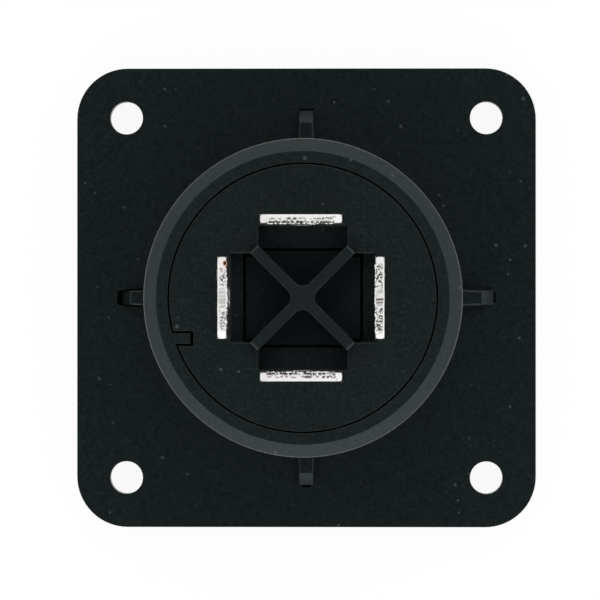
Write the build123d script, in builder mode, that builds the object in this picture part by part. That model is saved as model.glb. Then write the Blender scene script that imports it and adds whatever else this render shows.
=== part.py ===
from build123d import *
import os
from math import asin, degrees, sqrt

# Four-pole twist-lock speaker connector for a panel, in millimetres.
# It is made of a moulded housing, a moulded contact carrier pressed into it from the rear, a divider
# set into the carrier, and four stamped contacts. The origin is the centre of the flange's front
# face, which lies in the XY plane. +Z runs along the axis to the rear, where the push-on tabs stand,
# and +Y is the connector's top.

# Flange
flange_side = 38.0
flange_thickness = 2.5
flange_corner_radius = 4.2
flange_front_edge_radius = 0.8
screw_inset = 4.1
screw_hole_diameter = 2.7
screw_head_diameter = 5.2
screw_head_angle = 90.0

# Socket at the front: the round hole that takes the cable plug's nose
socket_diameter = 20.0
socket_mouth_chamfer = 0.5
keyway_depth = 1.2
keyway_length = 9.0
wide_keyway_width = 4.4
narrow_keyway_width = 3.0
locking_track_height = 3.0
locking_track_sweep = 45.0
latch_notch_width = 5.0
latch_notch_depth = 2.0
latch_notch_height = 1.6

# Barrel behind the flange, with the seat for the carrier in its rear end
barrel_height = 17.0
barrel_wall = 1.96
barrel_chamfer = 1.05
barrel_edge_radius = 0.3
seat_shoulder = 0.64
seat_web_thickness = 1.5
key_width = 0.82
key_depth = 1.79
key_offset = 3.2
rim_break = 0.04

# Four ribs at the barrel's root, which centre it in the panel's hole
rib_length = 2.9
rib_height = 1.05
rib_root_width = 1.48
rib_end_width = 1.08
rib_end_slope = 0.98
rib_edge_radius = 0.16
foot_groove_length = 0.18
foot_groove_depth = 0.4
foot_groove_widths = {"right": 0.95, "top": 1.28, "bottom": 0.8}
pocket_length = 0.05
pocket_depth = 1.0
pocket_margin = 0.12
pocket_corner_radius = 0.3

# Contact carrier: a disc with a tubular core towards the front
carrier_gap = 0.12
key_side_gap = 0.17
key_end_gap = 0.24
carrier_thickness = 3.0
collar_step = 1.1
core_recess = 1.5
core_hollow_diameter = 11.3
core_skin = 1.3
core_mouth_chamfer = 0.4
floor_thickness = 2.0
index_bar_length = 1.15
index_bar_width = 0.2
index_bar_height = 0.06
index_bar_radius = 9.33
index_bar_offset = 0.15

# Cross-shaped pocket in the carrier's rear: a shelf at each contact round a deeper recess
pocket_arm_margin = 0.325
pocket_shelf_drop = 1.9
pocket_floor_drop = 4.0
shelf_width_upright = 1.72
shelf_width_level = 0.9
edge_break = 0.08

# Divider: a base set into the recess, with an X-shaped wall between the tabs
divider_gap = 0.24
divider_base_drop = 2.2
wall_thickness = 0.87
wall_overhang = 0.47
wall_rise = 1.1
wall_fillet = 0.85
wall_end_bevel = 0.17

# Stamped contacts
contact_thickness = 0.8
tab_width = 6.35
tab_length = 8.0
tab_corner_cut = 0.6
tab_bevel_width = 0.06
tab_bevel_height = 0.2
tab_hole_diameter = 1.8
tab_hole_from_tip = 4.1
shoulder_step = 0.575
shoulder_depth = 2.6
blade_setback = 1.1
blade_corner_cut = 0.7
slot_gap = 0.05
window_lip = 0.5
lance_width = 1.6
lance_length = 2.2
lance_spread = 0.6
lance_from_shoulder = 1.0
lance_gap = 0.15

# Places that follow from the sizes above
socket_radius = socket_diameter / 2
keyway_radius = socket_radius + keyway_depth
seat_radius = socket_radius + seat_shoulder
barrel_radius = seat_radius + barrel_wall
rib_start = barrel_radius - barrel_wall / 2
rib_end = barrel_radius + rib_length
rear_z = flange_thickness + barrel_height
seat_z = rear_z - carrier_thickness
web_z = seat_z - seat_web_thickness
screw_spacing = flange_side - 2 * screw_inset
hollow_radius = core_hollow_diameter / 2
core_front_z = core_recess
core_radius = hollow_radius + contact_thickness + slot_gap + core_skin
collar_radius = core_radius + collar_step
shelf_z = rear_z - pocket_shelf_drop
pocket_floor_z = rear_z - pocket_floor_drop
divider_base_z = rear_z - divider_base_drop
hollow_floor_z = pocket_floor_z - floor_thickness
arm_width = tab_width + 2 * pocket_arm_margin
shoulder_z = rear_z - shoulder_depth
blade_width = tab_width - 2 * shoulder_step
blade_front_z = core_front_z + blade_setback
tip_z = rear_z + tab_length
lance_end_z = shoulder_z - lance_from_shoulder
lance_root_z = lance_end_z - lance_length

contact_angles = {"right": 0, "top": 90, "left": 180, "bottom": 270}
pocket_rib_side = "left"
index_bar_angle = 180


def radial_plane(angle):
    """Upright plane through the axis: its X runs outwards at the angle, its Y runs to the rear."""
    return Plane.XZ.rotated((0, 0, angle))


def level_plane(height, angle=0):
    """Plane across the axis at a height, turned about the axis."""
    return Plane.XY.offset(height).rotated((0, 0, angle))


def contact_plane(angle):
    """Plane of a contact's inner face: X runs across the contact, Y to the rear, and Z outwards."""
    outwards = Vector(1, 0, 0).rotate(Axis.Z, angle)
    across = Vector(0, 1, 0).rotate(Axis.Z, angle)
    return Plane(origin=outwards * hollow_radius, x_dir=across, z_dir=outwards)


def save(piece, name):
    """Labels a finished piece and writes it to its own file."""
    piece.label = name
    export_step(piece, f"parts/{name}.step")


def rib_outline(end):
    """Outline of a rib: a strip from inside the barrel's wall outwards, which narrows to its end."""
    with BuildSketch(mode=Mode.PRIVATE) as outline:
        with BuildLine():
            Polyline(
                (rib_start, -rib_root_width / 2),
                (end, -rib_end_width / 2),
                (end, rib_end_width / 2),
                (rib_start, rib_root_width / 2),
                close=True,
            )
        make_face()
    return outline.sketch


def rib_solid(angle, has_pocket):
    """One centring rib: its end slopes up to a flat top with rounded edges.

    In the pocket the end slope starts on the pocket's floor.
    """
    foot_z = flange_thickness
    foot_end = rib_end
    if has_pocket:
        foot_z -= pocket_depth
        foot_end += pocket_length
    top_z = flange_thickness + rib_height
    with BuildPart(mode=Mode.PRIVATE) as rib:
        with BuildSketch(level_plane(foot_z, angle)):
            add(rib_outline(foot_end))
        extrude(amount=top_z - foot_z)
        with BuildSketch(radial_plane(angle)):
            with BuildLine():
                Polyline(
                    (rib_start, foot_z),
                    (foot_end, foot_z),
                    (rib_end - rib_end_slope, top_z),
                    (rib_start, top_z),
                    close=True,
                )
            make_face()
        extrude(amount=rib_root_width, both=True, mode=Mode.INTERSECT)
        top_face = rib.faces().sort_by(Axis.Z)[-1]
        fillet(top_face.edges(), rib_edge_radius)
    return rib.part


def rib_pocket(angle):
    """Pocket in the flange round a rib's foot: the foot's outline with a margin and rounded corners."""
    with BuildPart(mode=Mode.PRIVATE) as pocket:
        with BuildSketch(level_plane(flange_thickness - pocket_depth, angle)) as outline:
            add(rib_outline(rib_end + pocket_length))
            offset(amount=pocket_margin, kind=Kind.INTERSECTION)
            fillet(outline.vertices().group_by(Axis.X)[-1], pocket_corner_radius)
        extrude(amount=pocket_depth)
    return pocket.part


def make_housing():
    """Housing: flange, barrel, socket with its keyways and locking tracks, ribs and carrier key."""
    with BuildPart() as housing:
        # Square flange with a rounded front edge
        with BuildSketch(Plane.XY):
            RectangleRounded(flange_side, flange_side, flange_corner_radius)
        extrude(amount=flange_thickness)
        front_face = housing.faces().sort_by(Axis.Z)[0]
        fillet(front_face.edges(), flange_front_edge_radius)

        # Pocket for one rib's foot, whose inner end the barrel closes
        add(rib_pocket(contact_angles[pocket_rib_side]), mode=Mode.SUBTRACT)

        # Barrel, with its bevelled and softened rear rim
        with BuildSketch(Plane.XY):
            Circle(barrel_radius)
        extrude(amount=rear_z)
        rear_face = housing.faces().sort_by(Axis.Z)[-1]
        chamfer(rear_face.edges(), barrel_chamfer)
        bevel_foot = housing.edges().filter_by(GeomType.CIRCLE).group_by(Axis.Z)[-2]
        fillet(bevel_foot, barrel_edge_radius)

        # Four ribs: one stands in the pocket, and the others end at a narrow groove
        for rib_side, groove_width in foot_groove_widths.items():
            with BuildSketch(level_plane(flange_thickness, contact_angles[rib_side])):
                with Locations((rib_end + foot_groove_length / 2, 0)):
                    Rectangle(foot_groove_length, groove_width)
            extrude(amount=-foot_groove_depth, mode=Mode.SUBTRACT)
        for rib_side, angle in contact_angles.items():
            add(rib_solid(angle, has_pocket=rib_side == pocket_rib_side))

        # Socket from the front and carrier seat from the rear, with the web between them that the
        # carrier's disc lies on, as one turned hollow
        with BuildSketch(Plane.XZ):
            with BuildLine():
                Polyline(
                    (0, 0),
                    (socket_radius + socket_mouth_chamfer, 0),
                    (socket_radius, socket_mouth_chamfer),
                    (socket_radius, web_z),
                    (collar_radius + carrier_gap, web_z),
                    (collar_radius + carrier_gap, seat_z),
                    (seat_radius, seat_z),
                    (seat_radius, rear_z - rim_break),
                    (seat_radius + rim_break, rear_z),
                    (0, rear_z),
                    close=True,
                )
            make_face()
        revolve(axis=Axis.Z, mode=Mode.SUBTRACT)

        # Two keyways of unequal width, each leading to a track in which the plug's lug turns and locks
        for angle, width in ((90, wide_keyway_width), (270, narrow_keyway_width)):
            with BuildSketch(level_plane(0, angle)):
                with Locations((keyway_radius / 2, 0)):
                    Rectangle(keyway_radius, width)
                Circle(keyway_radius, mode=Mode.INTERSECT)
            extrude(amount=keyway_length, mode=Mode.SUBTRACT)
            half_angle = degrees(asin(width / 2 / keyway_radius))
            with BuildSketch(radial_plane(angle - half_angle / 2)):
                with Locations((keyway_radius / 2, keyway_length - locking_track_height / 2)):
                    Rectangle(keyway_radius, locking_track_height)
            revolve(
                axis=Axis.Z,
                revolution_arc=locking_track_sweep + half_angle / 2,
                mode=Mode.SUBTRACT,
            )

        # Notch in the flange's front for the plug's latch
        with BuildSketch(Plane.XY):
            with Locations(((socket_radius + latch_notch_depth) / 2, 0)):
                Rectangle(socket_radius + latch_notch_depth, latch_notch_width)
        extrude(amount=latch_notch_height, mode=Mode.SUBTRACT)

        # Key that keeps the carrier from turning
        with BuildSketch(Plane.XY.offset(seat_z)):
            with Locations((key_depth / 2 - seat_radius, -key_offset)):
                Rectangle(key_depth, key_width)
        extrude(amount=carrier_thickness)

        # Screw holes, countersunk from the front
        with Locations(Plane(origin=(0, 0, 0), z_dir=(0, 0, -1))):
            with GridLocations(screw_spacing, screw_spacing, 2, 2):
                CounterSinkHole(
                    radius=screw_hole_diameter / 2,
                    counter_sink_radius=screw_head_diameter / 2,
                    depth=flange_thickness,
                    counter_sink_angle=screw_head_angle,
                )
    return housing.part


def slot_box(plane, width, start_z, end_z, inner_depth, outer_depth):
    """Box in a contact's plane, from one height to another and from one depth to another."""
    with BuildPart(mode=Mode.PRIVATE) as box:
        with BuildSketch(plane.offset(inner_depth)):
            with Locations((0, (start_z + end_z) / 2)):
                Rectangle(width, end_z - start_z)
        extrude(amount=outer_depth - inner_depth)
    return box.part


def recess_outline(gap):
    """Cross-shaped outline of the recess in the carrier, made smaller by a gap all round."""
    arm = arm_width - 2 * gap
    upright_reach = 2 * (hollow_radius - shelf_width_upright - gap)
    level_reach = 2 * (hollow_radius - shelf_width_level - gap)
    with BuildSketch(mode=Mode.PRIVATE) as outline:
        Rectangle(arm, upright_reach)
        Rectangle(level_reach, arm)
    return outline.sketch


def make_contact_carrier():
    """Contact carrier: disc, tubular core, contact slots, and the pocket and recess in its rear."""
    with BuildPart() as carrier:
        # Disc with the notch for the housing's key
        notch_depth = key_depth + key_end_gap
        with BuildSketch(Plane.XY.offset(seat_z)):
            Circle(seat_radius - carrier_gap)
            with Locations((notch_depth / 2 - seat_radius, -key_offset)):
                Rectangle(notch_depth, key_width + 2 * key_side_gap, mode=Mode.SUBTRACT)
        extrude(amount=carrier_thickness)

        # Collar under the disc, which centres the carrier in the housing's web
        with BuildSketch(Plane.XY.offset(web_z)):
            Circle(collar_radius)
        extrude(amount=seat_web_thickness)

        # Core, which reaches forward into the socket
        with BuildSketch(Plane.XY.offset(core_front_z)):
            Circle(core_radius)
        extrude(amount=seat_z - core_front_z)
        core_face = carrier.faces().sort_by(Axis.Z)[0]
        chamfer(core_face.edges(), core_mouth_chamfer)
        with BuildSketch(Plane.XZ):
            with BuildLine():
                Polyline(
                    (0, core_front_z),
                    (hollow_radius + core_mouth_chamfer, core_front_z),
                    (hollow_radius, core_front_z + core_mouth_chamfer),
                    (hollow_radius, hollow_floor_z),
                    (0, hollow_floor_z),
                    close=True,
                )
            make_face()
        revolve(axis=Axis.Z, mode=Mode.SUBTRACT)

        # Cross-shaped pocket with a shelf at each contact, and the divider's recess in its middle
        reach = 2 * hollow_radius
        with BuildSketch(Plane.XY.offset(rear_z)):
            Rectangle(arm_width, reach)
            Rectangle(reach, arm_width)
        extrude(amount=-pocket_shelf_drop, mode=Mode.SUBTRACT)
        with BuildSketch(Plane.XY.offset(shelf_z)):
            add(recess_outline(0))
        extrude(amount=pocket_floor_z - shelf_z, mode=Mode.SUBTRACT)

        # Broken edges at the disc's rim and along the pocket's arms
        rear_face = carrier.faces().sort_by(Axis.Z)[-1]
        rim_edges = rear_face.outer_wire().edges()
        arm_edges = rear_face.inner_wires()[0].edges().group_by(SortBy.LENGTH)[0]
        chamfer(rim_edges, rim_break)
        chamfer(arm_edges, edge_break)

        # Raised bar that marks one side of the rear face
        with BuildSketch(level_plane(rear_z, index_bar_angle)):
            with Locations((index_bar_radius, index_bar_offset)):
                SlotOverall(index_bar_length, index_bar_width)
        extrude(amount=index_bar_height)

        # Slots for the contacts, each with an open window to the hollow and one for its lance
        for angle in contact_angles.values():
            plane = contact_plane(angle)
            depth = contact_thickness + slot_gap
            blade_slot_width = blade_width + 2 * slot_gap
            tab_slot_width = tab_width + 2 * slot_gap
            window_width = blade_width - 2 * window_lip
            lance_window_width = lance_width + 2 * lance_gap
            cuts = [
                slot_box(plane, window_width, core_front_z, hollow_floor_z, -hollow_radius / 2, 0),
                slot_box(plane, blade_slot_width, blade_front_z - slot_gap, shoulder_z, 0, depth),
                slot_box(plane, tab_slot_width, shoulder_z, rear_z, 0, depth),
                slot_box(
                    plane,
                    lance_window_width,
                    lance_root_z - lance_gap,
                    lance_end_z + lance_gap,
                    depth,
                    core_radius - hollow_radius,
                ),
            ]
            for cut in cuts:
                add(cut, mode=Mode.SUBTRACT)
    return carrier.part


def wall_outline():
    """X-shaped outline of the wall between the tabs, with rounded inner corners."""
    reach = arm_width / sqrt(2) + wall_overhang
    with BuildSketch(mode=Mode.PRIVATE) as outline:
        for angle in (45, 135):
            with Locations(Rotation(0, 0, angle)):
                Rectangle(2 * reach, wall_thickness)
        crossing = outline.vertices().sort_by_distance((0, 0, 0))[:4]
        fillet(crossing, wall_fillet)
    return outline.sketch


def make_tab_divider():
    """Divider: a cross-shaped base in the carrier's recess, with an X-shaped wall between the tabs."""
    with BuildPart() as divider:
        # Base, with a gap to the recess all round
        with BuildSketch(Plane.XY.offset(pocket_floor_z)):
            add(recess_outline(divider_gap))
        extrude(amount=divider_base_z - pocket_floor_z)

        # Wall, which stays over the base up to the carrier's rear face
        with BuildSketch(Plane.XY.offset(divider_base_z)):
            add(wall_outline())
            add(recess_outline(divider_gap), mode=Mode.INTERSECT)
        extrude(amount=divider_base_drop)

        # Above that its four ends reach outwards and lie on the carrier
        with BuildSketch(Plane.XY.offset(rear_z)):
            add(wall_outline())
        extrude(amount=wall_rise)
        top_edges = divider.faces().sort_by(Axis.Z)[-1].edges().group_by(SortBy.LENGTH)
        chamfer(top_edges[0], wall_end_bevel)
        top_edges = divider.faces().sort_by(Axis.Z)[-1].edges().group_by(SortBy.LENGTH)
        chamfer(top_edges[1:], edge_break)
    return divider.part


def make_contact(angle):
    """Contact stamped from strip: a blade at the front, shoulders, a lance and the push-on tab."""
    plane = contact_plane(angle)
    half_blade = blade_width / 2
    half_tab = tab_width / 2
    with BuildPart() as contact:
        with BuildSketch(plane):
            with BuildLine():
                right_side = Polyline(
                    (0, blade_front_z),
                    (half_blade - blade_corner_cut, blade_front_z),
                    (half_blade, blade_front_z + blade_corner_cut),
                    (half_blade, shoulder_z),
                    (half_tab, shoulder_z),
                    (half_tab, tip_z - tab_corner_cut),
                    (half_tab - tab_corner_cut, tip_z),
                    (0, tip_z),
                )
                mirror(right_side, about=Plane.YZ)
            make_face()
            with Locations((0, tip_z - tab_hole_from_tip)):
                Circle(tab_hole_diameter / 2, mode=Mode.SUBTRACT)
            # Opening from which the lance is bent out
            with Locations((0, (lance_root_z + lance_end_z) / 2)):
                Rectangle(lance_width + 2 * lance_gap, lance_length, mode=Mode.SUBTRACT)
        extrude(amount=contact_thickness)

        # Bevelled tip and corners on both wide faces, so that the push-on receptacle slides over them
        for end in (0, -1):
            wide_face = contact.faces().sort_by(Axis(plane.origin, plane.z_dir))[end]
            tip_edges = wide_face.edges().filter_by(lambda edge: edge.center().Z > tip_z - tab_corner_cut)
            chamfer(tip_edges, tab_bevel_height, tab_bevel_width, reference=wide_face)

        # Lance: a tongue bent outwards from its front end
        with BuildSketch(radial_plane(angle)):
            with BuildLine():
                Polyline(
                    (hollow_radius, lance_root_z),
                    (hollow_radius + contact_thickness, lance_root_z),
                    (hollow_radius + contact_thickness + lance_spread, lance_end_z),
                    (hollow_radius + lance_spread, lance_end_z),
                    close=True,
                )
            make_face()
        extrude(amount=lance_width / 2, both=True)
    return contact.part


os.makedirs("parts", exist_ok=True)
save(make_housing(), "housing")
save(make_contact_carrier(), "contact_carrier")
save(make_tab_divider(), "tab_divider")
for side, contact_angle in contact_angles.items():
    save(make_contact(contact_angle), f"contact_{side}")
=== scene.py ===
# %% [markdown]
# # A panel speaker connector, seen from behind
#
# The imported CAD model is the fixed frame: a black moulded housing, a black contact carrier and four
# stamped contacts. This script gives them their finishes, adds the small forms that a solid model
# leaves out, and sets the light and the camera. Everything is in metres, and +Z points to the rear,
# which is where the camera is.

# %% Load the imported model
import math

import bpy
import numpy as np
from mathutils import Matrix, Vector


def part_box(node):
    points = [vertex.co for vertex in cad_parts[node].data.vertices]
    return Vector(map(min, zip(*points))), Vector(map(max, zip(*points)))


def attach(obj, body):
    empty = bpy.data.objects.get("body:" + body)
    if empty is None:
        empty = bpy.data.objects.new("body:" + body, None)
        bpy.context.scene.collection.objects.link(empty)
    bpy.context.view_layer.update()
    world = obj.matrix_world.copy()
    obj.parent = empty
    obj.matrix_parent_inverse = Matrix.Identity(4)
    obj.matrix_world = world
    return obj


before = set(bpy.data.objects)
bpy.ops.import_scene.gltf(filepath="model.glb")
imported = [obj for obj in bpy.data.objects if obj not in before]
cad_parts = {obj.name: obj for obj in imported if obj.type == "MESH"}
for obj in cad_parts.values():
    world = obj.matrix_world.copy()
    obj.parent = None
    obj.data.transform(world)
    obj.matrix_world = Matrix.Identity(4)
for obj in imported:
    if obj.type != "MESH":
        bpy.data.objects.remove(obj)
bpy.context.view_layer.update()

MM = 0.001
print("nodes", sorted(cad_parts))

# %% [markdown]
# ## The camera
#
# The connector lies on its front face and the camera looks straight down at its rear. The barrel's
# rim and the tabs look larger than the flange by an amount that gives the distance: 330 mm. The
# tabs also lean a little to the left, so the lens is 5.5 mm to the right of the axis. It is aimed
# back at the axis, so that only a very small shift is left for the framing.

# %% Camera at the viewing distance
PHOTO_SIDE = 600
SENSOR_WIDTH = 36.0
LENS = 239.0
CAMERA_DISTANCE = 330.0 * MM
LENS_OFFSET = 5.5 * MM
flange_rear = 2.5 * MM
lens_place = Vector((LENS_OFFSET, 0, flange_rear + CAMERA_DISTANCE))
axis_place = Vector((0, 0, flange_rear))
frame_offset_px = (6.3, 2.2)

camera = bpy.data.objects.new("camera", bpy.data.cameras.new("camera"))
bpy.context.scene.collection.objects.link(camera)
camera.data.lens = LENS
camera.data.sensor_width = SENSOR_WIDTH
camera.data.shift_x = -frame_offset_px[0] / PHOTO_SIDE
camera.data.shift_y = -frame_offset_px[1] / PHOTO_SIDE
camera.data.clip_start, camera.data.clip_end = 0.01, 10
camera.location = lens_place
camera.rotation_mode = "XYZ"
camera.rotation_euler = (0, math.atan2(lens_place.x - axis_place.x, lens_place.z - axis_place.z), 0)
bpy.context.scene.camera = camera
pixels_per_mm = LENS / SENSOR_WIDTH * PHOTO_SIDE * MM / CAMERA_DISTANCE
print("pixels per millimetre on the flange", round(pixels_per_mm, 3))

# %% [markdown]
# ## Small helpers for shader nodes
#
# A material is a tree of nodes. Writing each node, its settings and its links in one call keeps the
# tree readable. A value that is a socket becomes a link, and anything else is set on the input.

# %% Node helpers
def fill(tree, socket, value):
    """Links an input to a value that is a socket, and sets any other value on it."""
    if isinstance(value, bpy.types.NodeSocket):
        tree.links.new(value, socket)
    else:
        socket.default_value = value


def add_node(tree, kind, inputs=None, **settings):
    """Adds a node of a kind, sets its settings, then fills each named input with a value or a link."""
    node = tree.nodes.new(kind)
    for name, value in settings.items():
        setattr(node, name, value)
    for name, value in (inputs or {}).items():
        fill(tree, node.inputs[name], value)
    return node


def math_node(tree, operation, first, second=0.0, third=0.0, clamp=False):
    """The result of one sum on up to three values."""
    values = {0: first, 1: second, 2: third}
    node = add_node(tree, "ShaderNodeMath", values, operation=operation, use_clamp=clamp)
    return node.outputs[0]


def remap(tree, value, low, high, to_low=0.0, to_high=1.0, smooth=True):
    """Moves a value from one range to another and holds it inside, by a smooth or a straight step."""
    node = add_node(
        tree,
        "ShaderNodeMapRange",
        {"Value": value, "From Min": low, "From Max": high, "To Min": to_low, "To Max": to_high},
        interpolation_type="SMOOTHSTEP" if smooth else "LINEAR",
    )
    return node.outputs["Result"]


def mix_colors(tree, amount, first, second):
    """Goes from the first colour to the second as the amount goes from 0 to 1.

    The mix node has inputs for numbers and vectors too. Its colours are inputs 6 and 7 and output 2.
    """
    return add_node(tree, "ShaderNodeMix", {0: amount, 6: first, 7: second}, data_type="RGBA").outputs[2]


def noise(tree, place, scale, detail=2.0, roughness=0.5):
    """Cloudy noise. Its blobs are about 1 / scale across, in metres."""
    inputs = {"Vector": place, "Scale": scale, "Detail": detail, "Roughness": roughness}
    return add_node(tree, "ShaderNodeTexNoise", inputs).outputs["Fac"]


def noise_scale(tree, size):
    """The scale of a noise whose size comes from a socket."""
    return math_node(tree, "DIVIDE", 1.0, size)


def tinted(tree, tone, mask, strength, tint):
    """The tone with a tint laid over it where the mask is, up to a strength."""
    return mix_colors(tree, math_node(tree, "MULTIPLY", mask, strength), tone, tint)


def object_place(tree):
    """Where a point lies in its piece, which is also its place in the whole connector."""
    return add_node(tree, "ShaderNodeTexCoord").outputs["Object"]


def new_group(name, inputs, outputs):
    """A shader node group with named inputs and outputs. Inputs come with their first value."""
    tree = bpy.data.node_groups.new(name, "ShaderNodeTree")
    for label, value in inputs.items():
        socket = tree.interface.new_socket(label, in_out="INPUT", socket_type="NodeSocketFloat")
        socket.default_value = value
    for label, kind in outputs.items():
        tree.interface.new_socket(label, in_out="OUTPUT", socket_type=kind)
    return tree, tree.nodes.new("NodeGroupInput").outputs, tree.nodes.new("NodeGroupOutput").inputs


def use_group(tree, group, **values):
    """Places a node group in a material with its own values; an input's spaces are written as _."""
    node = add_node(tree, "ShaderNodeGroup", node_tree=group)
    for name, value in values.items():
        fill(tree, node.inputs[name.replace("_", " ")], value)
    return node.outputs


print("node helpers ready")

# %% [markdown]
# ## The light
#
# The connector lies in a light tent that is pale all round and has one dark opening, straight above,
# for the camera. The flat black faces mirror that opening and look nearly black, while the bevelled
# rim mirrors the tent's bright sides. So the world is a plain colour by direction: dark at the zenith,
# rising quickly to the tent's level and a little further to the horizon. More of it comes from the
# picture's lower side than from its upper one, a little more from its right than from its left, and
# more from its upper and lower sides together than from the other two. Two weak lamps give it a
# direction.

# %% World gradient and two soft lamps
OPENING_LIGHT = 0.05
TENT_LIGHT = 0.92
HORIZON_EXTRA = 0.04
OPENING_EDGE = (0.04, 0.30)
LOWER_SIDE_GAIN = 0.30
RIGHT_SIDE_GAIN = 0.10
UP_DOWN_GAIN = 0.28
LAMP_WIDTH = 0.16
LOWER_LAMP_POWER = 0.07
UPPER_LAMP_POWER = 0.24

world = bpy.data.worlds.new("studio")
bpy.context.scene.world = world
world.use_nodes = True
sky = world.node_tree
sky.nodes.clear()
direction = add_node(sky, "ShaderNodeTexCoord").outputs["Generated"]
parts = add_node(sky, "ShaderNodeSeparateXYZ", {0: direction}).outputs
height_squared = math_node(sky, "MULTIPLY", parts["Z"], parts["Z"])
levelness = math_node(sky, "SUBTRACT", 1.0, height_squared, clamp=True)
tent = remap(sky, levelness, *OPENING_EDGE, OPENING_LIGHT, TENT_LIGHT)
gradient = math_node(sky, "ADD", tent, math_node(sky, "MULTIPLY", levelness, HORIZON_EXTRA))
lower_gain = math_node(sky, "MULTIPLY", parts["Y"], -LOWER_SIDE_GAIN)
y_squared = math_node(sky, "MULTIPLY", parts["Y"], parts["Y"])
x_squared = math_node(sky, "MULTIPLY", parts["X"], parts["X"])
y_over_x = math_node(sky, "SUBTRACT", y_squared, x_squared)
up_down_gain = math_node(sky, "MULTIPLY", y_over_x, UP_DOWN_GAIN)
right_gain = math_node(sky, "MULTIPLY_ADD", parts["X"], RIGHT_SIDE_GAIN, 1.0)
side_gain = math_node(sky, "ADD", right_gain, math_node(sky, "ADD", lower_gain, up_down_gain))
strength = math_node(sky, "MULTIPLY", gradient, side_gain)
background = add_node(sky, "ShaderNodeBackground", {"Color": (1, 1, 1, 1), "Strength": strength})
add_node(sky, "ShaderNodeOutputWorld", {"Surface": background.outputs[0]})


def soft_lamp(name, place, width, power):
    """A square lamp of a width and power, aimed at the connector from a place."""
    lamp = bpy.data.objects.new(name, bpy.data.lights.new(name, "AREA"))
    bpy.context.scene.collection.objects.link(lamp)
    lamp.data.size = width
    lamp.data.energy = power
    lamp.location = place
    lamp.rotation_mode = "QUATERNION"
    lamp.rotation_quaternion = (-Vector(place)).to_track_quat("-Z", "Y")
    lamp.visible_camera = False


soft_lamp("lamp_lower", (-0.08, -0.36, 0.36), LAMP_WIDTH, LOWER_LAMP_POWER)
soft_lamp("lamp_upper", (0.06, 0.34, 0.40), LAMP_WIDTH, UPPER_LAMP_POWER)
horizon_light = TENT_LIGHT + HORIZON_EXTRA
print("light from the opening, the tent and the horizon", OPENING_LIGHT, TENT_LIGHT, horizon_light)

# %% [markdown]
# ## Meshes from numpy grids
#
# Each new piece is a grid of points worked out as whole arrays. A tube is a grid whose second
# direction closes on itself, and each of its ends is gathered into one point, so that the piece is a
# closed skin.

# %% Closed tube from a grid of points
def tube_object(name, grid, material, uv=None, attributes=None):
    """Closed skin over a grid of points (along, around, xyz).

    Neighbouring points around the tube are joined, the last with the first. The ends are closed
    by one point each, the mean of the end ring. uv gives a pair for each point of the grid, and
    attributes one value for each point.
    """
    along, around = grid.shape[:2]
    points = np.vstack([grid.reshape(-1, 3), grid[0].mean(0), grid[-1].mean(0)])
    i, j = np.meshgrid(np.arange(along - 1), np.arange(around), indexing="ij")
    k = (j + 1) % around
    here, ahead = i * around, (i + 1) * around
    quads = np.stack([here + j, ahead + j, ahead + k, here + k], -1).reshape(-1, 4)
    ring = np.arange(around)
    following = (ring + 1) % around
    start_point, end_point = along * around, along * around + 1
    start_fan = np.stack([np.full(around, start_point), ring, following], -1)
    end_base = (along - 1) * around
    end_fan = np.stack([np.full(around, end_point), end_base + following, end_base + ring], -1)
    mesh = bpy.data.meshes.new(name)
    mesh.from_pydata(points.tolist(), [], quads.tolist() + start_fan.tolist() + end_fan.tolist())
    if signed_volume(points, quads, np.vstack([start_fan, end_fan])) < 0:
        mesh.flip_normals()
    mesh.shade_smooth()

    corner_points = np.empty(len(mesh.loops), np.int32)
    mesh.loops.foreach_get("vertex_index", corner_points)
    if uv is not None:
        flat = np.vstack([uv.reshape(-1, 2), uv[0].mean(0), uv[-1].mean(0)])
        layer = mesh.uv_layers.new(name="edge_map")
        layer.data.foreach_set("uv", flat[corner_points].astype(np.float32).ravel())
    for label, values in (attributes or {}).items():
        flat = np.concatenate([values.ravel(), [values[0].mean(), values[-1].mean()]])
        layer = mesh.attributes.new(label, "FLOAT", "POINT")
        layer.data.foreach_set("value", flat.astype(np.float32))
    mesh.materials.append(material)
    piece = bpy.data.objects.new(name, mesh)
    bpy.context.scene.collection.objects.link(piece)
    print(name, "points", len(points), "triangles", 2 * len(quads) + 2 * around)
    return piece


def signed_volume(points, quads, triangles):
    """Sum of the little pyramids from the origin to each face: positive if the faces point outwards."""
    all_triangles = np.vstack([quads[:, [0, 1, 2]], quads[:, [0, 2, 3]], triangles])
    a, b, c = (points[all_triangles[:, n]] for n in range(3))
    return (a * np.cross(b, c)).sum() / 6


# %% [markdown]
# ## Effects shared by the materials
#
# Four effects are on more than one surface, so each is a node group. The first softens every sharp
# edge of the solids by a few hundredths of a millimetre, as any tool leaves it. The second is the
# fine grain that spark erosion leaves in a mould, with larger patches and small pale flecks in the
# tone. The third is dust: pale specks, each in one cell of a Voronoi pattern, about half of them
# switched off, and a thin haze. The fourth is hairline scratches.

# %% Group: softened edges
def soft_edge_group():
    """Edge rounding: the mean of the normals found within a radius of each point."""
    tree, given, out = new_group("soft edges", {"Radius": 0.05 * MM}, {"Normal": "NodeSocketVector"})
    rounded = add_node(tree, "ShaderNodeBevel", {"Radius": given["Radius"]}, samples=8)
    tree.links.new(rounded.outputs["Normal"], out["Normal"])
    return tree


soft_edges = soft_edge_group()
print("group", soft_edges.name)

# %% Group: grain of a spark-eroded mould
COARSE_GRAIN_RATIO = 0.4
COARSE_GRAIN_HEIGHT = 1.5
FLECK_RANGE = (0.46, 0.80)
MOTTLE_RANGE = (0.25, 0.75)


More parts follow.
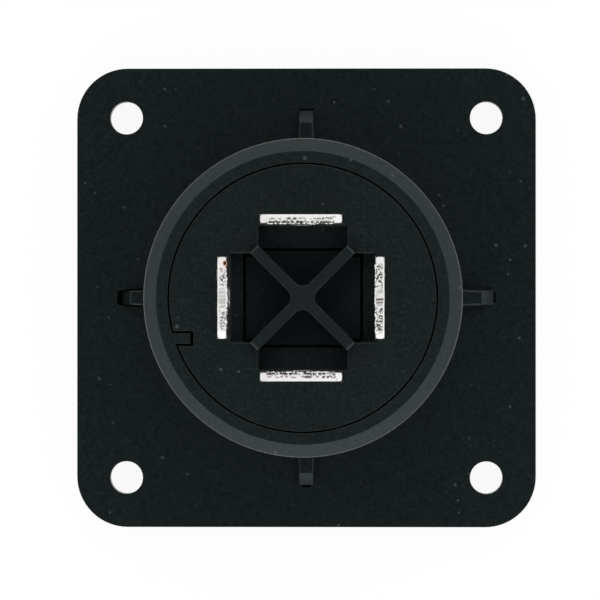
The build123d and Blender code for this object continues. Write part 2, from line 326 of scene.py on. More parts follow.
def mould_grain_group():
    """Two sizes of noise added up as height, small pale flecks, and a mottle that shifts tone and gloss."""
    tree, given, out = new_group(
        "mould grain",
        {"Grain Size": 0.07 * MM, "Mottle Size": 0.6 * MM, "Fleck Size": 0.26 * MM},
        {"Height": "NodeSocketFloat", "Flecks": "NodeSocketFloat", "Mottle": "NodeSocketFloat"},
    )
    place = object_place(tree)
    grain_scale = noise_scale(tree, given["Grain Size"])
    coarse_scale = math_node(tree, "MULTIPLY", grain_scale, COARSE_GRAIN_RATIO)
    fine = noise(tree, place, grain_scale)
    coarse = noise(tree, place, coarse_scale, detail=3.0, roughness=0.6)
    mottle = noise(tree, place, noise_scale(tree, given["Mottle Size"]), detail=5.0, roughness=0.75)
    flecks = noise(tree, place, noise_scale(tree, given["Fleck Size"]), detail=2.0, roughness=0.6)
    height = math_node(tree, "MULTIPLY_ADD", coarse, COARSE_GRAIN_HEIGHT, fine)
    tree.links.new(height, out["Height"])
    tree.links.new(remap(tree, flecks, *FLECK_RANGE, smooth=False), out["Flecks"])
    tree.links.new(remap(tree, mottle, *MOTTLE_RANGE, smooth=False), out["Mottle"])
    return tree


mould_grain = mould_grain_group()
print("group", mould_grain.name)

# %% Group: dust specks
SPECK_EDGE = (-0.02, 0.05)
HAZE_RATIO = 0.35
HAZE_RANGE = (0.35, 0.8)


def dust_group():
    """Soft round specks, near enough to a cell's own point where its random value is low, and a haze."""
    tree, given, out = new_group(
        "dust",
        {"Cell Size": 1.1 * MM, "Speck Size": 0.155, "Amount": 0.1},
        {"Speck": "NodeSocketFloat", "Haze": "NodeSocketFloat"},
    )
    place = object_place(tree)
    scale = noise_scale(tree, given["Cell Size"])
    cells = add_node(tree, "ShaderNodeTexVoronoi", {"Vector": place, "Scale": scale, "Randomness": 1.0})
    chance = add_node(tree, "ShaderNodeSeparateColor", {0: cells.outputs["Color"]}).outputs
    size = math_node(tree, "MULTIPLY", given["Speck Size"], chance["Green"])
    closeness = math_node(tree, "SUBTRACT", size, cells.outputs["Distance"])
    near = remap(tree, closeness, *SPECK_EDGE)
    chosen = math_node(tree, "LESS_THAN", chance["Red"], given["Amount"])
    tree.links.new(math_node(tree, "MULTIPLY", near, chosen), out["Speck"])
    haze_scale = math_node(tree, "MULTIPLY", scale, HAZE_RATIO)
    haze = noise(tree, place, haze_scale, detail=6.0, roughness=0.7)
    tree.links.new(remap(tree, haze, *HAZE_RANGE, smooth=False), out["Haze"])
    return tree


dust = dust_group()
print("group", dust.name)

# %% Group: hairline scratches
SCRATCH_STRETCH = (1.0, 0.06, 1.0)
PATCH_RATIO = 0.5
PATCH_RANGE = (0.60, 0.70)


def scratch_group():
    """Thin lines where a stretched noise passes its middle value, kept only in scattered patches."""
    tree, given, out = new_group(
        "scratches", {"Spacing": 1.6 * MM, "Width": 0.004, "Turn": 0.6}, {"Scratch": "NodeSocketFloat"}
    )
    place = object_place(tree)
    angle = add_node(tree, "ShaderNodeCombineXYZ", {"Z": given["Turn"]}).outputs[0]
    turned = add_node(
        tree, "ShaderNodeVectorRotate", {"Vector": place, "Rotation": angle}, rotation_type="EULER_XYZ"
    ).outputs[0]
    stretched = add_node(
        tree, "ShaderNodeVectorMath", {0: turned, 1: SCRATCH_STRETCH}, operation="MULTIPLY"
    ).outputs["Vector"]
    scale = noise_scale(tree, given["Spacing"])
    lines = noise(tree, stretched, scale, detail=1.0)
    off_middle = math_node(tree, "ABSOLUTE", math_node(tree, "SUBTRACT", lines, 0.5))
    thin = math_node(tree, "LESS_THAN", off_middle, given["Width"])
    patches = noise(tree, place, math_node(tree, "MULTIPLY", scale, PATCH_RATIO), detail=1.0)
    in_patch = remap(tree, patches, *PATCH_RANGE)
    tree.links.new(math_node(tree, "MULTIPLY", thin, in_patch), out["Scratch"])
    return tree


scratches = scratch_group()
print("group", scratches.name)

# %% [markdown]
# ## Black moulded plastic
#
# The three mouldings are the same kind of glass-filled black plastic, a touch bluish, with a satin
# gloss. The housing's grain is coarser than the carrier's, and it has more dust. The divider's copy is
# painted lighter: painted light against the shade of the tabs around it. Each is darker on its low
# faces by a tint that grows towards them. This is painted shade, on the flange and rib tops below the barrel
# and down in the pockets. One function makes all three, so that they stay relatives.

# %% Plastic materials
LOW_FACE_SHADE_TINT = (0.0, 0.0024, 0.0041, 1)
FLECK_STRENGTH, FLECK_TINT = 0.36, (0.042, 0.051, 0.052, 1)
SCRATCH_STRENGTH, SCRATCH_TINT = 0.3, (0.03, 0.036, 0.036, 1)
HAZE_STRENGTH, HAZE_TINT = 0.10, (0.03, 0.034, 0.034, 1)
SPECK_STRENGTH, SPECK_TINT = 0.22, (0.20, 0.22, 0.22, 1)
SPECK_ROUGHNESS = 0.3
PLASTIC_SOFT_EDGE = 0.045 * MM
PLASTIC_IOR = 1.5
PLASTIC_SPECULAR = 0.275
PLASTIC_SPECULAR_TINT = (0.82, 1.0, 1.0, 1)


def new_material(name):
    """An empty node material."""
    material = bpy.data.materials.new(name)
    material.use_nodes = True
    material.node_tree.nodes.clear()
    return material, material.node_tree


def black_plastic(
    name, dark, light, low_face_shade, low_shade_heights, gloss_range, grain_size, grain_height, dust_amount, scratch_turn
):
    """Satin plastic: mottled tone with pale flecks, grain bump, dust, scratches, softened edges and painted
    shade on its low faces.
    """
    material, tree = new_material(name)
    grain = use_group(tree, mould_grain, Grain_Size=grain_size)
    edges = use_group(tree, soft_edges, Radius=PLASTIC_SOFT_EDGE)
    specks = use_group(tree, dust, Amount=dust_amount)
    lines = use_group(tree, scratches, Turn=scratch_turn)
    tone = mix_colors(tree, grain["Mottle"], dark, light)
    tone = tinted(tree, tone, grain["Flecks"], FLECK_STRENGTH, FLECK_TINT)
    tone = tinted(tree, tone, lines["Scratch"], SCRATCH_STRENGTH, SCRATCH_TINT)
    tone = tinted(tree, tone, specks["Haze"], HAZE_STRENGTH, HAZE_TINT)
    tone = tinted(tree, tone, specks["Speck"], SPECK_STRENGTH, SPECK_TINT)
    # Painted shade: the tone is tinted darker towards the low faces, by height, where shade falls.
    height = add_node(tree, "ShaderNodeSeparateXYZ", {0: object_place(tree)}).outputs["Z"]
    lowest, highest = low_shade_heights
    painted_low_shade = remap(tree, height, highest, lowest)
    tone = tinted(tree, tone, painted_low_shade, low_face_shade, LOW_FACE_SHADE_TINT)
    mottled_gloss = remap(tree, grain["Mottle"], 0, 1, *gloss_range, smooth=False)
    roughness = math_node(tree, "MULTIPLY_ADD", specks["Speck"], SPECK_ROUGHNESS, mottled_gloss)
    bump = add_node(
        tree,
        "ShaderNodeBump",
        {"Height": grain["Height"], "Distance": grain_height, "Strength": 1.0, "Normal": edges["Normal"]},
    ).outputs["Normal"]
    shader = add_node(
        tree,
        "ShaderNodeBsdfPrincipled",
        {
            "Base Color": tone,
            "Roughness": roughness,
            "Normal": bump,
            "IOR": PLASTIC_IOR,
            "Specular IOR Level": PLASTIC_SPECULAR,
            "Specular Tint": PLASTIC_SPECULAR_TINT,
        },
    )
    add_node(tree, "ShaderNodeOutputMaterial", {"Surface": shader.outputs[0]})
    return material


housing_plastic = black_plastic(
    "housing plastic",
    dark=(0.0064, 0.0094, 0.0098, 1),
    light=(0.0120, 0.0167, 0.0175, 1),
    low_face_shade=0.22,
    low_shade_heights=(3.0 * MM, 4.2 * MM),
    gloss_range=(0.26, 0.30),
    grain_size=0.09 * MM,
    grain_height=0.0016 * MM,
    dust_amount=0.50,
    scratch_turn=0.7,
)
carrier_plastic = black_plastic(
    "carrier plastic",
    dark=(0.0066, 0.0094, 0.0100, 1),
    light=(0.0106, 0.0150, 0.0158, 1),
    low_face_shade=0.08,
    low_shade_heights=(17.7 * MM, 19.0 * MM),
    gloss_range=(0.25, 0.29),
    grain_size=0.07 * MM,
    grain_height=0.0012 * MM,
    dust_amount=0.45,
    scratch_turn=2.2,
)
# The divider's copy of the plastic is painted lighter: painted light against the shade that the four tabs
# cast around it.
lit_divider_plastic = black_plastic(
    "divider plastic painted lighter",
    dark=(0.0124, 0.0165, 0.0176, 1),
    light=(0.0184, 0.0242, 0.0258, 1),
    low_face_shade=0.46,
    low_shade_heights=(17.4 * MM, 20.0 * MM),
    gloss_range=(0.24, 0.28),
    grain_size=0.07 * MM,
    grain_height=0.0012 * MM,
    dust_amount=0.30,
    scratch_turn=2.2,
)
PLASTICS = {"housing": housing_plastic, "contact_carrier": carrier_plastic, "tab_divider": lit_divider_plastic}
for node_name, plastic in PLASTICS.items():
    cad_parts[node_name].data.materials.clear()
    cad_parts[node_name].data.materials.append(plastic)
print("plastics", [plastic.name for plastic in PLASTICS.values()])

# %% [markdown]
# ## Tin-plated strip
#
# The contacts are stamped from rolled brass strip with a tin plate. Rolling leaves fine lines along
# the strip, which runs the length of the contact, so the lines are noise stretched along Z. The
# plate is softly mottled where the tin has flowed.

# %% Contact metal
ROLLING_STRETCH = (1.0, 1.0, 0.03)
ROLLING_LINE = 0.05 * MM
ROLLING_HEIGHT = 0.0004 * MM
TIN_MOTTLE = 0.5 * MM
TIN_MOTTLE_RANGE, TIN_GLOSS_RANGE = (0.3, 0.7), (0.14, 0.24)
TIN_SOFT_EDGE = 0.015 * MM
DULL_TIN, BRIGHT_TIN = (0.80, 0.79, 0.77, 1), (0.88, 0.87, 0.85, 1)
TIN_SCRATCH_STRENGTH, TIN_SCRATCH_TINT = 0.4, (0.60, 0.58, 0.54, 1)


def tin_plate():
    """Satin tin: rolling lines along Z, mottled tone and gloss, and faint scratches."""
    material, tree = new_material("tin plate")
    place = object_place(tree)
    along_strip = add_node(
        tree, "ShaderNodeVectorMath", {0: place, 1: ROLLING_STRETCH}, operation="MULTIPLY"
    ).outputs["Vector"]
    rolling = noise(tree, along_strip, 1 / ROLLING_LINE, detail=3.0)
    mottle = noise(tree, place, 1 / TIN_MOTTLE, detail=3.0, roughness=0.6)
    edges = use_group(tree, soft_edges, Radius=TIN_SOFT_EDGE)
    lines = use_group(tree, scratches, Spacing=0.8 * MM, Width=0.01, Turn=1.1)
    tone = mix_colors(tree, mottle, DULL_TIN, BRIGHT_TIN)
    tone = tinted(tree, tone, lines["Scratch"], TIN_SCRATCH_STRENGTH, TIN_SCRATCH_TINT)
    gloss = remap(tree, mottle, *TIN_MOTTLE_RANGE, *TIN_GLOSS_RANGE)
    bump = add_node(
        tree, "ShaderNodeBump", {"Height": rolling, "Distance": ROLLING_HEIGHT, "Normal": edges["Normal"]}
    ).outputs["Normal"]
    shader = add_node(
        tree,
        "ShaderNodeBsdfPrincipled",
        {"Base Color": tone, "Metallic": 1.0, "Roughness": gloss, "Normal": bump},
    )
    add_node(tree, "ShaderNodeOutputMaterial", {"Surface": shader.outputs[0]})
    return material


contact_metal = tin_plate()
CONTACT_TURNS = {"right": 0.0, "top": 90.0, "left": 180.0, "bottom": 270.0}
for side in CONTACT_TURNS:
    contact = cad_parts["contact_" + side]
    contact.data.materials.clear()
    contact.data.materials.append(contact_metal)
print("contacts", len(CONTACT_TURNS))

# %% [markdown]
# ## Sheared metal
#
# A blade cuts through the first part of a strip's thickness and leaves it bright and smooth. Then
# the rest breaks, and leaves a torn surface with dark pits and a burr. How light each spot of the end
# is comes from the tearing, so the mesh of each end carries that as a value, and the material turns it
# into metal between nearly black and nearly white, with a warm tint in between. A second value marks
# one spot of bare brass, which has gone brown: it has a dark middle and a pale rim.

# %% Sheared metal material
# The black end of the tone gives the pits their painted shade and the bevels their painted dark.
PIT_AND_SHADE_BLACK = (0.002, 0.002, 0.002, 1)
SHEARED_WHITE = (0.99, 0.985, 0.975, 1)
WARM_STRENGTH, WARM_TINT = 0.45, (0.52, 0.40, 0.34, 1)
SPOT_RIM, SPOT_RIM_TINT = (0.30, 0.42), (0.72, 0.42, 0.30, 1)
SPOT_CORE, SPOT_CORE_TINT = (0.62, 0.80), (0.03, 0.012, 0.008, 1)
CRUMB_SIZE = 0.03 * MM
CRUMB_HEIGHT = 0.002 * MM
SHEARED_METALLIC = 0.04
SHEARED_SPECULAR = 0.04
PIT_ROUGHNESS, WHITE_ROUGHNESS = 0.7, 0.5


def sheared_tin():
    """Rough bright metal whose pits go down to black, which is painted shade, with a spot of bare brass."""
    material, tree = new_material("sheared tin")
    shade = add_node(tree, "ShaderNodeAttribute", attribute_name="shade").outputs["Fac"]
    brass = add_node(tree, "ShaderNodeAttribute", attribute_name="brass").outputs["Fac"]
    crumbs = noise(tree, object_place(tree), 1 / CRUMB_SIZE, roughness=0.6)
    tone = mix_colors(tree, shade, PIT_AND_SHADE_BLACK, SHEARED_WHITE)
    half_dark = math_node(tree, "MULTIPLY", shade, math_node(tree, "SUBTRACT", 1.0, shade))
    tone = tinted(tree, tone, half_dark, WARM_STRENGTH, WARM_TINT)
    tone = mix_colors(tree, remap(tree, brass, *SPOT_RIM), tone, SPOT_RIM_TINT)
    tone = mix_colors(tree, remap(tree, brass, *SPOT_CORE), tone, SPOT_CORE_TINT)
    roughness = remap(tree, shade, 0, 1, PIT_ROUGHNESS, WHITE_ROUGHNESS)
    bump = add_node(tree, "ShaderNodeBump", {"Height": crumbs, "Distance": CRUMB_HEIGHT}).outputs["Normal"]
    shader = add_node(
        tree,
        "ShaderNodeBsdfPrincipled",
        {
            "Base Color": tone,
            "Metallic": SHEARED_METALLIC,
            "Roughness": roughness,
            "Normal": bump,
            "Specular IOR Level": SHEARED_SPECULAR,
        },
    )
    add_node(tree, "ShaderNodeOutputMaterial", {"Surface": shader.outputs[0]})
    return material


sheared_metal = sheared_tin()
print("material", sheared_metal.name)

# %% [markdown]
# ## The sheared ends of the tabs
#
# The end of each tab is where most of the picture's detail is: a bright band outside, a broken line
# where the cut turned into a tear, a row of dark pits along the inner edge, and white crumbs of burr
# beyond it. Both ends of the cut are clean. The left and right tabs also show the place in the middle
# where the strip that carried them was cut off, with dark specks on both sides of it.
#
# The piece is a thin skin that follows the tab's outline over its tip: a cross-section, which lies a
# hundredth of a millimetre above the solid and dives into it at both borders, is carried along the
# outline and closed inside the solid. Along the torn part its inner edge reaches out as the burr. The
# tearing is worked out as random fields on the whole grid, and is added both as height and as shade.

# %% Random fields on whole arrays
def value_noise(x, y, cell, seed):
    """Smooth random hills: random numbers on a square lattice, blended between its corners by 3t² - 2t³.

    Each cell of the lattice is as wide as the cell value, and the numbers repeat after 256 cells.
    """
    table = np.random.default_rng(seed).random((256, 256))
    u, v = x / cell, y / cell
    i, j = np.floor(u).astype(int), np.floor(v).astype(int)
    s, t = u - i, v - j
    s, t = s * s * (3 - 2 * s), t * t * (3 - 2 * t)
    i0, j0, i1, j1 = i % 256, j % 256, (i + 1) % 256, (j + 1) % 256
    lower = table[i0, j0] * (1 - s) + table[i1, j0] * s
    upper = table[i0, j1] * (1 - s) + table[i1, j1] * s
    return lower * (1 - t) + upper * t


def wave(x, cell, seed):
    """A line's random wave, between -0.5 and 0.5: one row of the smooth random hills, less a half."""
    return value_noise(x, x * 0, cell, seed) - 0.5


def bell(x, middle, width):
    """Bell curve: e to the power of minus the square of the distance from the middle over the width."""
    return np.exp(-(((x - middle) / width) ** 2))


def step(x, low, high):
    """Smooth step, 3t² - 2t³, from 0 below the low value to 1 above the high one."""
    t = np.clip((x - low) / (high - low), 0, 1)
    return t * t * (3 - 2 * t)


def between(x, low, high, soft):
    """1 between two values, with soft borders: a step up at the low one times a step down at the high one."""
    return step(x, low - soft, low + soft) * (1 - step(x, high - soft, high + soft))


def blobs(x, y, size, share, seed):
    """Scattered blobs: where two sizes of noise together are among the lowest share of their values."""
    field = value_noise(x, y, size, seed) + 0.4 * value_noise(x, y, 0.45 * size, seed + 1)
    limit = np.quantile(field, share)
    return 1 - step(field, limit - 0.03, limit + 0.07)


print("noise mean", round(float(value_noise(np.arange(999) * 0.37, np.zeros(999), 1.0, 1).mean()), 3))

# %% Outline of a tab's end and cross-section of the skin
TAB_WIDTH = 6.35 * MM
TAB_THICKNESS = 0.8 * MM
CORNER_CUT = 0.6 * MM
TIP_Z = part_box("contact_top")[1].z
INNER_FACE = 5.65 * MM
BEVEL_WIDTH = 0.06 * MM
BEVEL_HEIGHT = 0.2 * MM
SIDE_DEPTH = 0.80 * MM
SKIN_DEPTH = 0.27 * MM
SKIN = 0.01 * MM
BORDER_DIVE = 0.12 * MM
CORNER_RUN = 0.02 * MM
EDGE_ROUND = 0.01 * MM
POINT_SPACING = 0.024 * MM


def smooth_line(points, reach):
    """Rounds a line's corners: each point becomes the mean of its neighbours within the reach."""
    padded = np.pad(points, ((reach, reach), (0, 0)), mode="edge")
    windows = np.lib.stride_tricks.sliding_window_view(padded, 2 * reach + 1, axis=0)
    return windows.mean(-1)


def along_polyline(corners, spacing):
    """Points at even spacing along straight runs between corners, with the distance gone at each."""
    corners = np.asarray(corners, float)
    gone = np.concatenate([[0], np.cumsum(np.linalg.norm(np.diff(corners, axis=0), axis=1))])
    count = int(round(gone[-1] / spacing)) + 1
    distance = np.linspace(0, gone[-1], count)
    line = np.stack([np.interp(distance, gone, corners[:, n]) for n in range(corners.shape[1])], -1)
    return line, distance


def tab_outline():
    """Rounded outline of the tab's end, as (across, height).

    It goes up one side, over both cut corners and down the other side, and has its height 0 at the tip.
    """
    half = TAB_WIDTH / 2
    corners = [
        (-half, -SIDE_DEPTH),
        (-half, -CORNER_CUT),
        (-half + CORNER_CUT, 0),
        (half - CORNER_CUT, 0),
        (half, -CORNER_CUT),
        (half, -SIDE_DEPTH),
    ]
    line, distance = along_polyline(corners, POINT_SPACING)
    return smooth_line(line, 1), distance


def skin_section():
    """Cross-section, as (thickness from the inner face, height over the outline).

    It goes up the inner face, over its bevel, the flat end and the outer bevel, and down the outer face.
    Both of its borders dive into the solid.
    """
    far = TAB_THICKNESS
    corners = [
        (BORDER_DIVE, -SKIN_DEPTH),
        (-SKIN, -BEVEL_HEIGHT - CORNER_RUN),
        (-SKIN, -BEVEL_HEIGHT),
        (BEVEL_WIDTH - SKIN, -EDGE_ROUND),
        (BEVEL_WIDTH + EDGE_ROUND, SKIN),
        (far - BEVEL_WIDTH - EDGE_ROUND, SKIN),
        (far - BEVEL_WIDTH + SKIN, -EDGE_ROUND),
        (far + SKIN, -BEVEL_HEIGHT),
        (far + SKIN, -BEVEL_HEIGHT - CORNER_RUN),
        (far - BORDER_DIVE, -SKIN_DEPTH),
    ]
    line, _ = along_polyline(corners, POINT_SPACING)
    return smooth_line(line, 1)


print("outline points", len(tab_outline()[0]), "section points", len(skin_section()))

# %% [markdown]
# ## How the ends are torn
#
# Each end has a look of its own: where it is clean, where its line and its pits are bold or pale, and
# where a strip was cut off. These places are in millimetres along the end, from its middle, and the
# other way round where an end is turned. The rows are in millimetres across it, inwards from the outer
# edge of its flat face. A shade is 1 for white metal and 0 for black, as seen on a screen. A burr is
# how far the end reaches past its inner edge, in millimetres.

# %% Tearing: shade and burr
LINE_ROW, LINE_WIDTH = 0.325, 0.050
STROKE_DEPTH = 0.46
PIT_ROW, PIT_ROW_WIDTH = 0.600, 0.068
PIT_CHANCE = (0.50, 0.54)
PIT_DEPTH, SMALL_PIT_DEPTH = 0.98, 0.65
SMALL_PIT_SIZE, SMALL_PIT_SHARE, SMALL_PIT_ROWS = 0.08, 0.34, (0.46, 0.66)
LINE_END_CRUMBS_FROM, CUT_END_CRUMBS_FROM = (0.655, 0.670), (0.655, 0.685)
LINE_END_BURR, CUT_END_BURR = 0.055, 0.035
PATCH_ROW, PATCH_HALF_ROW = 0.36, 0.30
SPECK_ROWS = (0.13, 0.62)
SMALL_SPECK, LARGE_SPECK = 0.072, 0.088
SMALL_SPECK_DEPTH, LARGE_SPECK_DEPTH = 0.86, 0.98
FACE_HEIGHT = 0.65
SIDE_BEVEL = 0.04
END_CORNER_RADIUS = 0.17
FACE_EDGE = 0.02
# Painted dark on the bevels and past the rounded corners: a painted reflection of the dark barrel, and
# painted shade.
BEVEL_PAINTED_DARK = 0.05

END_LOOKS = {
    "top": {
        "turned": True,
        "seed": 11,
        "clean_from": (-2.60, 2.52),
        "bold_line": ((-1.0, -0.3), (1.5, 1.85)),
        "bold_pits": ((-2.5, 0.15), (1.25, 2.4)),
        "pale_run": (0.35, 1.15),
    },
    "bottom": {
        "turned": False,
        "seed": 23,
        "clean_from": (-2.64, 2.60),
        "bold_line": ((0.30, 1.25), (1.6, 2.3)),
        "bold_pits": ((-2.5, -0.4), (0.15, 2.5)),
        "pale_run": (-0.35, 0.10),
    },
    "left": {
        "turned": False,
        "seed": 37,
        "clean_from": (-2.30, 2.45),
        "cut_off": (-0.80, 0.78),
        "streak_places": ((-0.11, 0.07, 0.10), (0.70, 0.035, 0.40), (0.42, 0.06, 0.10)),
        "speck_shares": (0.18, 0.30),
    },
    "right": {
        "turned": True,
        "seed": 51,
        "clean_from": (-2.60, 2.82),
        "cut_off": (-0.74, 0.70),
        "streak_places": ((0.11, 0.05, 0.97), (0.36, 0.045, 0.60), (-0.42, 0.08, 0.14)),
        "speck_shares": (0.30, 0.46),
    },
}


def runs(u, places, soft):
    """1 inside any of several stretches along the end: the sum of what lies between the ends of each."""
    return np.clip(sum(between(u, low, high, soft) for low, high in places), 0, 1)


def torn_line_ends(u, v, look):
    """Shade and burr of an end that was cut off alone, at u along it and v inwards from its outer edge.

    From the outer edge inwards: a white band, a line of short grey strokes, faint grain, a row of black
    pits, and white crumbs beyond them. A line or a row is a bell across the end times a random field,
    and its depth is taken off the white.
    """
    seed = look["seed"]
    wander = 0.06 * wave(u, 0.40, seed) + 0.07 * wave(u, 0.12, seed + 1)
    strokes = step(value_noise(u, v * 0.5, 0.13, seed + 2), 0.40, 0.52)
    bold = runs(u, look["bold_line"], 0.08)
    line = bell(v, LINE_ROW + wander, LINE_WIDTH + 0.020 * bold)
    grain = between(v, 0.20, 0.60, 0.05) * step(value_noise(u, v, 0.08, seed + 4), 0.45, 0.8)
    shade = 1.0 - (STROKE_DEPTH + 0.52 * bold) * line * strokes
    shade = shade - 0.07 * grain

    # The pits are real, and their black, large and small, is painted shade: their relief is too shallow to
    # darken them.
    pale = between(u, *look["pale_run"], 0.08)
    pit_row = bell(v, PIT_ROW + 0.03 * wave(u, 0.3, seed + 5), PIT_ROW_WIDTH)
    pits = value_noise(u, u * 0 + 7, 0.14, seed + 6)
    more = 0.18 * runs(u, look["bold_pits"], 0.1)
    pit_mask = step(pits, PIT_CHANCE[0] - more, PIT_CHANCE[1] - more)
    small_pits = blobs(u, v, SMALL_PIT_SIZE, SMALL_PIT_SHARE, seed + 12) * between(v, *SMALL_PIT_ROWS, 0.04)
    shade = shade * (1 - PIT_DEPTH * step(pit_row, 0.25, 0.45) * pit_mask * (1 - 0.75 * pale))
    shade = shade * (1 - SMALL_PIT_DEPTH * small_pits)

    crumb = value_noise(u, v * 0.6, 0.13, seed + 8) * 0.6 + 0.4 * value_noise(u, v, 0.05, seed + 9)
    burr_shade = 0.05 + 0.95 * step(crumb, 0.38, 0.46)
    beyond = step(v, *LINE_END_CRUMBS_FROM)
    shade = shade * (1 - beyond) + burr_shade * beyond
    burr = LINE_END_BURR + 0.045 * wave(u, 0.12, seed + 10) + 0.03 * wave(u, 0.5, seed + 11)
    return shade, burr


def cut_off_ends(u, v, look):
    """Shade and burr of an end with a cut-off strip in its middle, at u along it and v inwards.

    The strip's patch is where an oval's distance, the root of x² + y⁴, is below 1. It has grey streaks
    and a white rim. On one side of it are small specks and on the other larger ones, in clusters. White
    crumbs lie beyond the inner edge, which is whole at the patch.
    """
    seed = look["seed"]
    low, high = look["cut_off"]
    middle, half = (low + high) / 2, (high - low) / 2
    oval = np.sqrt(((u - middle) / half) ** 2 + ((v - PATCH_ROW) / PATCH_HALF_ROW) ** 4)
    patch = 1 - step(oval, 0.90, 1.00)
    rim = bell(oval, 1.06, 0.10)
    streaks = step(value_noise(u + 0.1 * v, v * 0.12, 0.13, seed), 0.25, 0.75)
    patch_shade = 0.82 + 0.15 * streaks - 0.05 * step(value_noise(u, v, 0.07, seed + 1), 0.5, 0.8)
    for place, width, depth in look["streak_places"]:
        bent = place + 0.03 * wave(v, 0.2, seed + 13)
        patch_shade = patch_shade * (1 - depth * bell(u, bent, width))

    share_left, share_right = look["speck_shares"]
    zone = between(v, *SPECK_ROWS, 0.05)
    clusters = step(value_noise(u, v, 0.45, seed + 3), 0.15, 0.45)
    grey = step(value_noise(u * 0.8, v, 0.085, seed + 2), 0.40, 0.70)
    small = blobs(u * 0.9, v, SMALL_SPECK, share_left, seed + 4)
    large = blobs(u * 0.95, v, LARGE_SPECK, share_right, seed + 6) * clusters
    shade = 1.0 - 0.18 * zone * grey
    shade = shade * (1 - SMALL_SPECK_DEPTH * zone * (u < middle) * small)
    shade = shade * (1 - LARGE_SPECK_DEPTH * zone * (u >= middle) * large)
    shade = shade * (1 - rim) + rim
    shade = shade * (1 - patch) + patch_shade * patch

    crumb = step(value_noise(u, v, 0.07, seed + 8), 0.38, 0.48)
    beyond = step(v, *CUT_END_CRUMBS_FROM)
    whole_edge = between(u, low, high, 0.12)
    edge_shade = np.maximum(0.06 + 0.94 * crumb, whole_edge)
    shade = shade * (1 - beyond) + edge_shade * beyond
    crumb_reach = 0.07 * (value_noise(u, u * 0, 0.14, seed + 10) - 0.35)
    burr = CUT_END_BURR + crumb_reach + 0.03 * bell(u, middle, half)
    return shade, burr


def single_marks(side, u, v):
    """What only one end has: a dark seam (bottom), a grey fold (top), and a spot of bare brass (left).

    Each is a bell around a line, kept between two places, or a bell both ways for the spot. Gives the
    share of the shade that is left, and how strongly the brass shows.
    """
    kept, brass = np.ones_like(v), np.zeros_like(v)
    if side == "bottom":
        seam_place = 2.56 + 0.55 * (0.68 - v) ** 2
        seam_depth = 0.25 + 0.65 * step(v, 0.30, 0.42)
        kept = 1 - seam_depth * bell(u, seam_place, 0.04) * between(v, 0.08, 0.70, 0.04)
    elif side == "top":
        fold = bell(v, 0.30 - 0.13 * (u - 1.7), 0.03) * between(u, 1.65, 2.65, 0.08)
        kept = 1 - 0.45 * fold
    elif side == "left":
        brass = bell(u, -2.64, 0.24) * bell(v, 0.56, 0.17) * (0.7 + 0.6 * value_noise(u, v, 0.09, 77))
    return kept, brass


def face_mask(u, v, torn):
    """1 on the flat face of an end and 0 on its bevels and beyond its rounded corners.

    Near the corners it is 1 where the distance to the face, made smaller by the corners' radius all
    round, is below that radius.
    """
    radius = END_CORNER_RADIUS
    half_length = TAB_WIDTH / MM / 2 - SIDE_BEVEL
    past_side = np.maximum(np.abs(u) - (half_length - radius), 0)
    past_edge = np.maximum(np.maximum(radius - v, v - (FACE_HEIGHT - radius)), 0)
    corner_distance = np.hypot(past_side, past_edge)
    rounded = 1 - step(corner_distance, radius - FACE_EDGE, radius + FACE_EDGE)
    strip = step(v, -0.03, 0.0) * (1 - (1 - torn) * step(v, 0.63, 0.66))
    return np.where(past_side > 0, rounded, strip)


print("looks of the ends", list(END_LOOKS))

# %% The four pieces
RELIEF_DEPTH = 0.012
HILL_HEIGHT = 0.006
BULGE = 0.035
SCREEN_POWER = 2.2
TAPER_RINGS = 4
EDGE_MAP_SPAN = 8.0


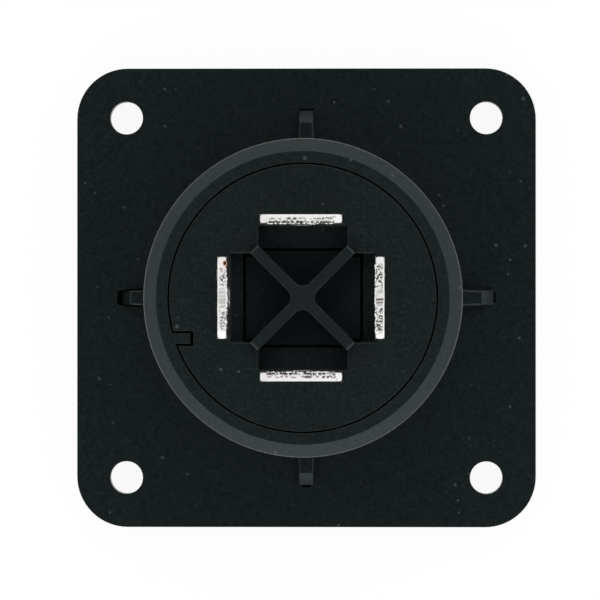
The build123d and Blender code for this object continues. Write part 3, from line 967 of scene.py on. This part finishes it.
def sheared_end(side):
    """One tab end: the section carried along the outline, with the burr, the shade and the relief.

    A point is the outline's point, moved outwards by the section's height or inwards towards a
    smaller copy of the outline, and across the thickness by the section's other value.
    """
    look = END_LOOKS[side]
    tearing = cut_off_ends if "cut_off" in look else torn_line_ends
    outline, distance = tab_outline()
    section = skin_section()
    across, depth = outline[:, 0], outline[:, 1]
    tangent = np.gradient(outline, axis=0)
    tangent /= np.linalg.norm(tangent, axis=1, keepdims=True)
    outward = np.stack([-tangent[:, 1], tangent[:, 0]], -1)
    inner = np.stack([across * (1 - SKIN_DEPTH / (TAB_WIDTH / 2)), depth - SKIN_DEPTH], -1)

    # Where each point lies on the end, and its shade there
    thick = np.broadcast_to(section[:, 0], (len(outline), len(section)))
    level = np.broadcast_to(section[:, 1], thick.shape)
    u = np.broadcast_to(across[:, None] / MM, thick.shape) * (-1 if look["turned"] else 1)
    torn = between(u, *look["clean_from"], 0.05)
    inner_side = 1 - step(thick / MM, 0.06, 0.26)
    _, burr = tearing(u, thick * 0, look)
    thickness = thick - burr * torn * inner_side * step(level / MM, -0.13, -0.05) * MM
    v = (TAB_THICKNESS - BEVEL_WIDTH - thickness) / MM
    shade, _ = tearing(u, v, look)
    clean_grain = 1.0 - 0.04 * step(value_noise(u, v, 0.12, look["seed"] + 20), 0.5, 0.9)
    kept, brass = single_marks(side, u, v)
    shade = (shade * torn + clean_grain * (1 - torn)) * kept
    # The bevels and the square corners past the rounding are painted dark: a painted reflection of the dark
    # barrel on the bevels, and painted shade that makes the corners look rounded.
    on_face = face_mask(u, v, torn) * step(level / MM, -0.02, 0.0)
    shade = shade * on_face + BEVEL_PAINTED_DARK * (1 - on_face)

    # The relief: a slow bulge of the cut-off ends, pits as deep as they are dark, and low hills
    bulge = BULGE * wave(u, 0.9, look["seed"] + 21) if "cut_off" in look else 0.0
    thickness = thickness + bulge * MM * (1 - inner_side) * torn
    top = step(level / MM, -0.05, 0.0)
    hills = HILL_HEIGHT * (value_noise(u, v, 0.4, look["seed"] + 22) - 0.5)
    height = (-RELIEF_DEPTH * (1 - shade) * torn + hills) * top
    rise = np.maximum(level, 0) + height * MM
    sink = np.clip(-level / SKIN_DEPTH, 0, 1)
    flat = outline[:, None, :] * (1 - sink[..., None]) + inner[:, None, :] * sink[..., None]
    flat = flat + outward[:, None, :] * rise[..., None]

    # The last few rings shrink into the solid, so that both ends of the skin are closed inside it
    ring = np.arange(len(outline))
    taper = step(np.minimum(ring, ring[::-1]) / TAPER_RINGS, 0, 1)[:, None]
    centre = outline * 0.4 + inner * 0.6
    flat = centre[:, None, :] + (flat - centre[:, None, :]) * taper[..., None]
    thickness = TAB_THICKNESS / 2 + (thickness - TAB_THICKNESS / 2) * taper

    # Into place: turned about Z to its side of the axis
    angle = math.radians(CONTACT_TURNS[side])
    radial = INNER_FACE + thickness
    x = radial * math.cos(angle) - flat[..., 0] * math.sin(angle)
    y = radial * math.sin(angle) + flat[..., 0] * math.cos(angle)
    grid = np.stack([x, y, TIP_Z + flat[..., 1]], -1)
    values = {"shade": np.clip(shade, 0, 1) ** SCREEN_POWER, "brass": brass}
    uv = np.stack([np.broadcast_to(distance[:, None] / MM / EDGE_MAP_SPAN, v.shape), v], -1)
    piece = tube_object("sheared_end_" + side, grid, sheared_metal, uv=uv, attributes=values)
    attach(piece, "root")


for side in END_LOOKS:
    sheared_end(side)

# %% [markdown]
# ## The floor
#
# The floor is a plain pale sheet just under the flange. Its rear is see-through, so that the socket
# can be looked at from below. To the camera and in reflections it glows nearly white by itself, and
# the rest of its brightness is light that falls on it, so that it keeps the connector's shadow.

# %% Floor
FLOOR_GLOW = 0.93
FLOOR_GREY = (0.09, 0.09, 0.09, 1)
FLOOR_HALF_SIDE = 4.0
FLOOR_HEIGHT = -0.02 * MM


def floor_material():
    """Pale sheet: seen directly it is mostly its own glow, and from below it is clear."""
    material, tree = new_material("floor")
    rays = add_node(tree, "ShaderNodeLightPath").outputs
    seen = math_node(tree, "MAXIMUM", rays["Is Camera Ray"], rays["Is Glossy Ray"])
    seen = math_node(tree, "MAXIMUM", seen, rays["Is Transmission Ray"])
    glow = add_node(tree, "ShaderNodeEmission", {"Color": (1, 1, 1, 1), "Strength": FLOOR_GLOW}).outputs[0]
    lit = add_node(tree, "ShaderNodeBsdfDiffuse", {"Color": FLOOR_GREY}).outputs[0]
    bright = add_node(tree, "ShaderNodeAddShader", {0: glow, 1: lit}).outputs[0]
    clear = add_node(tree, "ShaderNodeBsdfTransparent").outputs[0]
    from_below = add_node(tree, "ShaderNodeNewGeometry").outputs["Backfacing"]
    from_above = math_node(tree, "SUBTRACT", 1.0, from_below)
    shown = math_node(tree, "MULTIPLY", seen, from_above)
    surface = add_node(tree, "ShaderNodeMixShader", {0: shown, 1: clear, 2: bright}).outputs[0]
    add_node(tree, "ShaderNodeOutputMaterial", {"Surface": surface})
    return material


def floor_sheet(half_side, height):
    """Square sheet of one face at a height."""
    corners = np.array([(-1, -1), (1, -1), (1, 1), (-1, 1)]) * half_side
    points = np.column_stack([corners, np.full(4, height)])
    mesh = bpy.data.meshes.new("floor")
    mesh.from_pydata(points.tolist(), [], [(0, 1, 2, 3)])
    mesh.materials.append(floor_material())
    sheet = bpy.data.objects.new("floor", mesh)
    bpy.context.scene.collection.objects.link(sheet)


floor_sheet(FLOOR_HALF_SIDE, FLOOR_HEIGHT)
print("floor below the flange")

# %% [markdown]
# ## Output
#
# The picture is shown with plain colours.

# %% Plain colours
bpy.context.scene.view_settings.view_transform = "Standard"
